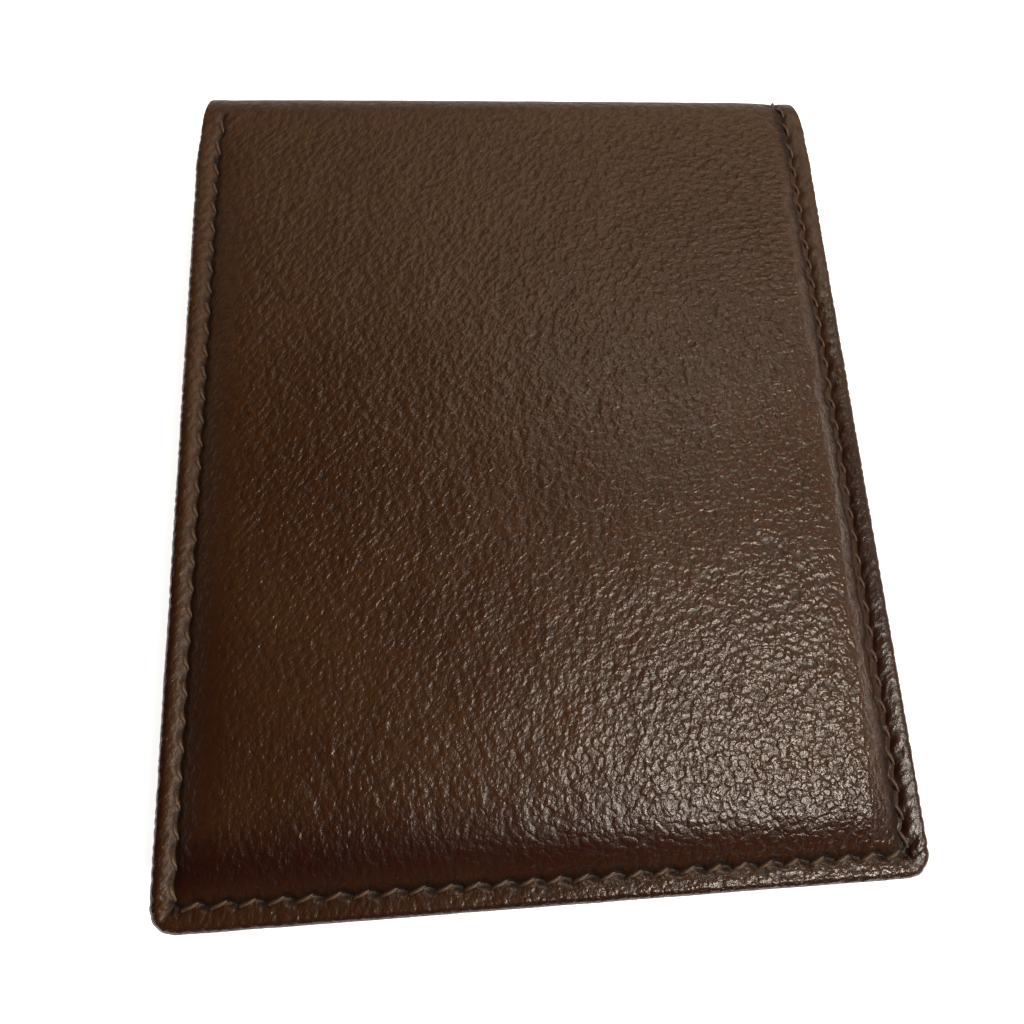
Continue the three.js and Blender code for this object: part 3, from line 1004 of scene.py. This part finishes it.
def shell_columns():
    """Column places from -1 to 1, closer together near the two seams."""
    half = (X1 - X0) / 2 - EDGE
    fine = spaced(0, FINE_WIDTH, SEAM_STEP) / half
    middle = spaced(-1 + fine[-1], 1 - fine[-1], FACE_STEP / half)
    return np.concatenate([fine[:-1] - 1, middle, (1 - fine[:-1])[::-1]])


def hem_place(x, s, out_x, out_s):
    """Where the turned-in hem ends, for a place on the face's edge. The hem's corner is rounded, and
    places near a corner are shared out along the hem."""
    moved = []
    for distance, width in zip(edge_distances(x, s), HEM):
        distance = np.maximum(distance, CORNER)
        shift = width + HEM_CORNER - CORNER
        moved.append(distance + shift * (1 - smooth((distance - CORNER) / 22)))
    closed, mouth, free = moved
    hem_x = np.where(x < 0, X0 + closed, X1 - mouth) + out_x * HEM_CORNER
    hem_s = np.where(is_front(s), LENGTH - free, free) + out_s * HEM_CORNER
    return hem_x, hem_s


def edge_roundness(x, s):
    """1 would be a half round edge. It is squarer on the fold and along the mouth."""
    roundness = 0.75 - 0.42 * onto_fold(s, 4, 4) + 0.15 * smooth((4 - from_free(s)) / 2)
    return np.maximum(roundness - 0.22 * smooth((x - X1 + 3) / 2), 0.33)


def shell_rim(x, s, out_x, out_s, outer):
    """Rings round the shell's edge: the rounded edge, the hem behind it, and back under the hem."""
    rings = []
    level = sink(s) - BORDER_DROP
    inner = HEM_INNER + level
    roundness = edge_roundness(x, s)
    wrinkles = border_wrinkles(x, s)
    for k in range(1, RIM_STEPS + 1):
        turn = math.pi * (0.5 - 0.5 * math.cos(math.pi * k / RIM_STEPS))
        off = EDGE * math.sin(turn) ** roundness
        height, crease_shade = grain(x + out_x * k * 0.3, s + out_s * k * 0.3)
        off = off + math.sin(turn) * (height * 0.9 + wrinkles * 0.7)
        rounded = math.cos(turn)
        rounded = np.sign(rounded) * abs(rounded) ** roundness
        depth = (outer + inner) / 2 - (inner - outer) / 2 * rounded
        rings.append((x + out_x * off, s + out_s * off, depth, crease_shade))
    hem_x, hem_s = hem_place(x, s, out_x, out_s)
    for share in (0.2, 0.4, 0.6, 0.8, 1.0):
        ring_x, ring_s = x + (hem_x - x) * share, s + (hem_s - s) * share
        height, crease_shade = grain(ring_x + 40, ring_s)
        rings.append((ring_x, ring_s, inner + 0.4 * height * (share < 1), crease_shade))
    under = LINING[2][1] + LAYER_GAP + level
    inside_x, inside_s = x - out_x * 0.15, s - out_s * 0.15
    rings.append((hem_x, hem_s, under, 0.3))
    rings.append((inside_x, inside_s, under, 0.3))
    rings.append((inside_x, inside_s, sink(s) + LEATHER, 0.3))
    return rings


def add_shell():
    columns = shell_columns()
    pieces = [
        ("back_cover", BACK_STEP, ["back_cover_leather", "fold_1_leather"]),
        ("fold_lower", FACE_STEP, ["fold_2_leather"]),
        ("fold_upper", FACE_STEP, ["fold_3_leather"]),
        ("front_cover", FACE_STEP, ["front_cover_leather"]),
    ]
    for k, (name, step, stands_for) in enumerate(pieces):
        cut = (k > 0, k < 3)
        rows = with_ghosts(quarter_rows(k, step, ARC_STEP, EDGE, SEAM_STEP), cut)
        outline = Outline((X0, X1), rows, EDGE, CORNER, cut, columns)
        shape = sheet_shape(outline, outer_face, shell_rim, leather_back, faces_in=False)
        ghost = ghost_points(shape, rows, cut)
        piece = new_piece(name, shape, SHELL_LEATHER, stands_for, ghost)
        bend_between(piece, k)


# The lining, divider, padding and panels inside each half

def add_linings():
    thickness = LINING[2][1] - LINING[2][0]

    def face(x, s):
        ripple = 0.03 * layered_noise(x / 9, s / 6, 91)
        return LINING[2][1] - BORDER_DROP + sink(s) + ripple, 0.0

    def other(x, s):
        return face(x, s)[0] - thickness

    pieces = [
        ("back_lining", ["back_cover_lining", "fold_1_lining"]),
        ("fold_lining_lower", ["fold_2_lining"]),
        ("fold_lining_upper", ["fold_3_lining"]),
        ("front_lining", ["front_cover_lining"]),
    ]
    for k, (name, stands_for) in enumerate(pieces):
        cut = (k > 0, k < 3)
        edge = LINING[1][0] + thickness / 2
        rows = with_ghosts(quarter_rows(k, step=0.8, fold_step=0.5, edge=edge), cut)
        outline = Outline(LINING[0], rows, thickness / 2, corner=2.0, cut=cut, step=0.9)
        rim = rounded_rim(other, lambda _: thickness / 2)
        shape = sheet_shape(outline, face, rim, other, faces_in=True)
        ghost = ghost_points(shape, rows, cut)
        piece = new_piece(name, shape, LINING_FABRIC, stands_for, ghost)
        bend_between(piece, k)


def flat_shape(side, x_range, s_range, inset, corner, steps, face, other, rim, faces_in=True):
    """A sheet on the flat part of one half. Steps are its rows' and its columns'."""
    rows = spaced(s_range[0] + inset, s_range[1] - inset, steps[0])
    if side == "front":
        rows = (LENGTH - rows)[::-1]
    outline = Outline(x_range, rows, inset, corner, step=steps[1])
    return sheet_shape(outline, face, rim, other, faces_in)


def add_divider(side):
    x_range, s_range, depths = DIVIDER
    thickness = depths[1] - depths[0]

    def face(x, s):
        return depths[1] + 0.02 * layered_noise(x / 8, s / 8, 95), 0.0

    def other(x, s):
        return face(x, s)[0] - thickness

    rim = rounded_rim(other, lambda _: thickness / 2)
    shape = flat_shape(side, x_range, s_range, thickness / 2, 1.5, (0.8, 0.8), face, other, rim)
    stands_for = [side + "_note_divider"]
    piece = new_piece(side + "_divider", shape, LINING_FABRIC, stands_for)
    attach(piece, side + "_half")


def add_padding(side):
    """The foam under the cover, crowned towards its middle and thin at its edges."""
    x_range, (start, _), _ = PADDING

    def outer(x, s):
        return leather_back(x, s) + 0.08

    def inner(x, s):
        return np.maximum(LINING[2][0] - BORDER_DROP + sink(s) - 0.06, outer(x, s) + 0.03)

    inset = 0.5
    rim = rounded_rim(inner, lambda thick: np.minimum(thick / 2, inset), crease_shade=0.0)
    shape = flat_shape(side, x_range, (start, FLAT - 3.5), inset, 4.0, (0.9, 0.9),
                       lambda x, s: (outer(x, s), 0.0), inner, rim, faces_in=False)
    piece = new_piece(side + "_padding", shape, FOAM, [side + "_cover_filler"])
    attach(piece, side + "_half")


def panel_swell(x, s):
    """How far the card panels belly out between their seams."""
    closed, _, free = edge_distances(x, s)
    span = crown((closed - SEAM) / 26) * crown((free - SEAM) / 26) * crown((GUTTER_SEAM - free) / 18)
    return 0.24 * span


def panel_seam_relief(x, s):
    """The dents of the panel seams in the inside face, and their shade."""
    closed, _, free = edge_distances(x, s)
    inside = closed > RELIEF_FROM
    dent, shade = joined_relief([
        (closed - SEAM, -(free - SEAM), SIDE_PITCH, free < GUTTER_SEAM, CHANNEL),
        (free - SEAM, closed - SEAM, FREE_PITCH, inside, CHANNEL),
        (GUTTER_SEAM - free, closed - SEAM, FREE_PITCH, inside, CHANNEL),
    ])
    return 0.3 * dent, shade


def add_panels(side):
    for number, (x_range, s_range, depths) in enumerate(PANELS):
        thickness = depths[1] - depths[0]
        lip = x_range[1]

        def face(x, s):
            to_lip = lip - x
            crease_line = 0.07 * np.exp(-((to_lip - 1.7) / 0.16) ** 2)
            turned_edge = 0.06 * smooth((7.5 - to_lip) / 0.9)
            height, crease_shade = grain(x * 1.5 + 31 * number, s * 1.5 + 400)
            dent, hole = panel_seam_relief(x, s)
            depth = depths[1] + panel_swell(x, s) + turned_edge - crease_line - dent + 0.22 * height
            # painted shade in the grain's creases and the seam holes, and darker along the crease line
            return depth, np.clip(0.5 * crease_shade + hole + crease_line * 8, 0, 1)

        def other(x, s):
            return depths[0] + panel_swell(x, s)

        rim = rounded_rim(other, lambda _: thickness / 2, crease_shade=0.4)
        shape = flat_shape(side, x_range, s_range, thickness / 2, 1.2, (0.5, 0.45), face, other, rim)
        node_name = f"{side}_card_pocket_{number}" if number else f"{side}_card_backing"
        piece = new_piece(node_name + "_panel", shape, INNER_LEATHER, [node_name])
        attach(piece, side + "_half")


# Stitches

def add_stitch(shape, start, end, surface, outward, hand):
    """One stitch of twisted thread between two holes on the strip, lying on a surface whose depth is
    given. It comes up out of its first hole and goes down into its second, on the side of the seam
    that hand gives."""
    (xa, sa), (xb, sb) = start, end
    length = math.hypot(xb - xa, sb - sa)
    dx, ds = (xb - xa) / length, (sb - sa) / length
    left_x, left_s = -ds * hand, dx * hand
    steps, sides = 14, 12
    t = np.linspace(0, 1, steps + 1)[:, None]
    around = np.linspace(0, 2 * math.pi, sides, endpoint=False)[None, :]
    along = 0.14 + 0.72 * t
    slant = STITCH_SLANT * (t - 0.5)
    from_middle = np.abs(2 * t - 1)
    twist = 0.88 + 0.12 * np.cos(2 * around - 9.0 * t)
    radius = THREAD_RADIUS * twist * (1 - 0.35 * from_middle**6)
    dive = 0.10 + 0.52 * from_middle**3
    wide = radius * np.cos(around) * 0.95
    x = xa + dx * along * length + left_x * (slant + wide)
    s = sa + ds * along * length + left_s * (slant + wide)
    depth = surface(x, s) - outward * (radius * np.sin(around) - dive)
    index = shape.add_points(x, s, depth, 0.2)
    flip = (outward > 0) == (hand > 0)
    shape.add_grid(index, flip=flip, closed=True)
    shape.add_face(index[0], flip=not flip)
    shape.add_face(index[-1], flip=flip)


def holes_along(start, end, count):
    return [(start[0] + (end[0] - start[0]) * k / count, start[1] + (end[1] - start[1]) * k / count)
            for k in range(count + 1)]


def seam_object(name, runs, surface, outward, stands_for):
    """One seam. Its runs of holes are given for the back half, and the front half mirrors them."""
    shape = Shape()
    for points in runs:
        hand = 1
        if name.startswith("front"):
            points, hand = [(x, LENGTH - s) for x, s in points], -1
        for start, end in zip(points, points[1:]):
            add_stitch(shape, start, end, surface, outward, hand)
    return new_piece(name, shape, THREAD, [stands_for])


def border_level(x, s):
    """Depth of the outside face that the outer seam lies on."""
    return sink(s) + border_arch(x, s)


def hem_level(x, s):
    """Depth of the hem's inside face."""
    return HEM_INNER - BORDER_DROP + sink(s)


def panel_level(x, s):
    """Depth of the inside face that the panel seams lie on: it steps down at each lip."""
    depth = HEM_INNER
    for (x_range, _, depths) in PANELS:
        depth = np.maximum(depth, depths[1] - 4 * np.maximum(x - x_range[1], 0))
    return depth


def add_half_seams(side):
    closed_x, mouth_x = X0 + SEAM, X1 - SEAM
    closed = holes_along((closed_x, FLAT), (closed_x, SEAM), SIDE_STITCHES)
    closed = [(X0 + SEAM / closed_scale(s), s) for _, s in closed]
    free = holes_along((closed_x, SEAM), (mouth_x, SEAM), FREE_STITCHES)
    mouth = holes_along((mouth_x, SEAM), (mouth_x, FLAT), SIDE_STITCHES)
    spine_mouth = [(mouth_x, FLAT), (mouth_x, FLAT + FOLD_PITCH)]
    gutter_stitches = int((GUTTER_SEAM - SEAM) / SIDE_PITCH)
    low_closed = closed[-gutter_stitches - 1:]
    lips = [point for point in free if point[0] < PANELS[0][0][1]]
    hem = [point for point in free if point[0] > PANELS[0][0][1]]
    gutter = [(x, GUTTER_SEAM) for x, _ in lips]
    layout = [
        ("cover_stitching", "outer_seam", (closed, free, mouth, spine_mouth), border_level, 1),
        ("panel_stitching", "panel_seam", (low_closed, lips), panel_level, -1),
        ("gutter_stitching", "gutter_seam", (gutter,), panel_level, -1),
        ("hem_stitching", "hem_seam", (hem, mouth, spine_mouth), hem_level, -1),
    ]
    for name, node_name, runs, surface, outward in layout:
        piece = seam_object(f"{side}_{name}", runs, surface, outward, f"{side}_{node_name}")
        if surface is panel_level:
            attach(piece, side + "_half")
        else:
            bend_between(piece, 0 if side == "back" else 3)


def add_fold_seams():
    """The mouth side's stitches that cross the fold. Those on a body are attached to it, and those on a
    bend have their transform baked.
    """
    mouth_x = X1 - SEAM
    layout = [("fold_1", None, 1), ("fold_2", 1, 2), ("fold_2", 2, 3), ("fold_3", None, 4)]
    for body, bend, number in layout:
        holes = [(mouth_x, FLAT + FOLD_PITCH * number), (mouth_x, FLAT + FOLD_PITCH * (number + 1))]
        for kind, outward in (("outer", 1), ("hem", -1)):
            level = 0.0 if kind == "outer" else HEM_INNER - BORDER_DROP
            piece = seam_object(
                f"fold_{kind}_stitch_{number}", [holes], lambda x, s: level, outward,
                f"{body}_{kind}_seam")
            if bend is None:
                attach(piece, body)
            else:
                bend_between(piece, bend)


add_camera()
add_floor()
add_world(strength=0.02)
add_lights()
add_shell()
add_linings()
for half in ("back", "front"):
    add_divider(half)
    add_padding(half)
    add_panels(half)
    add_half_seams(half)
add_fold_seams()
